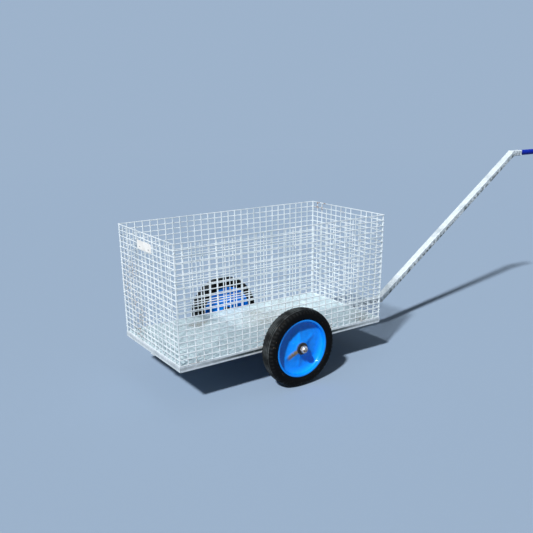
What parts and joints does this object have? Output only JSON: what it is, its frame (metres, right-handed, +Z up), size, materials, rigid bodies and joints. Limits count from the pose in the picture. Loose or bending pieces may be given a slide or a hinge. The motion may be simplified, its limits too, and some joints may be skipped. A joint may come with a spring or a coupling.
{
  "type": "lambing pram",
  "caption": "Hand cart for carrying new-born lambs: an open wire-mesh basket on an angle-iron frame, air-tyred wheels on a through axle, and a bent drawbar that ends in a grip.",
  "frame": {"origin": "on the ground under the middle of the pram's box", "axes": "+X from the basket towards the handle, +Y towards the left wheel, +Z up"},
  "size_m": [2.6258, 0.7684, 0.9269],
  "materials": {
    "galvanised_wire": "hot-dip zinc on welded wire",
    "galvanised_steel": "hot-dip zinc, dull with spangle",
    "galvanised_floor": "galvanised sheet, scuffed, with dirt",
    "plated_steel": "bright zinc plate, a little rust",
    "white_plate": "white enamel, blank",
    "rivet_metal": "dull",
    "blue_grip": "soft blue vinyl",
    "tyre_rubber": "black rubber, dusty",
    "tube_rubber": "matt",
    "blue_paint": "glossy blue enamel",
    "black_nylon": "moulded nylon",
    "valve_brass": "dull brass",
    "valve_cap": "moulded"
  },
  "bodies": {
    "pram": {"mesh_side_right": "galvanised_wire", "mesh_side_left": "galvanised_wire", "mesh_end_rear": "galvanised_wire", "mesh_end_front": "galvanised_wire", "corner_rings": "galvanised_wire", "frame_side_right": "galvanised_steel", "frame_side_left": "galvanised_steel", "frame_end_rear": "galvanised_steel", "frame_end_front": "galvanised_steel", "floor_bearer_1": "galvanised_steel", "floor_bearer_2": "galvanised_steel", "floor_bearer_3": "galvanised_steel", "drawbar_rail": "galvanised_steel", "drawbar_riser": "galvanised_steel", "handle_stub": "galvanised_steel", "handle_end_plate": "galvanised_steel", "axle_plates": "galvanised_steel", "floor_sheet": "galvanised_floor", "axle": "plated_steel", "axle_spacers": "plated_steel", "wheel_washers": "plated_steel", "axle_nuts": "plated_steel", "grip_core": "plated_steel", "plate_washers": "plated_steel", "name_plate": "white_plate", "plate_rivets": "rivet_metal", "grip": "blue_grip"},
    "right_wheel": {"right_tyre": "tyre_rubber", "right_inner_tube": "tube_rubber", "right_rim": "blue_paint", "right_disc_outer": "blue_paint", "right_disc_inner": "blue_paint", "right_hub": "blue_paint", "right_hub_bushes": "black_nylon", "right_valve_stem": "valve_brass", "right_valve_cap": "valve_cap"},
    "left_wheel": {"left_tyre": "tyre_rubber", "left_inner_tube": "tube_rubber", "left_rim": "blue_paint", "left_disc_outer": "blue_paint", "left_disc_inner": "blue_paint", "left_hub": "blue_paint", "left_hub_bushes": "black_nylon", "left_valve_stem": "valve_brass", "left_valve_cap": "valve_cap"}
  },
  "joints": [
    {"name": "right_wheel_spin", "type": "hinge", "parent": "pram", "child": "right_wheel", "pos_m": [-0.74536, -0.3272, 0.181], "axis": [0, 1, 0], "continuous": true},
    {"name": "left_wheel_spin", "type": "hinge", "parent": "pram", "child": "left_wheel", "pos_m": [-0.74536, 0.3272, 0.181], "axis": [0, 1, 0], "continuous": true}
  ]
}
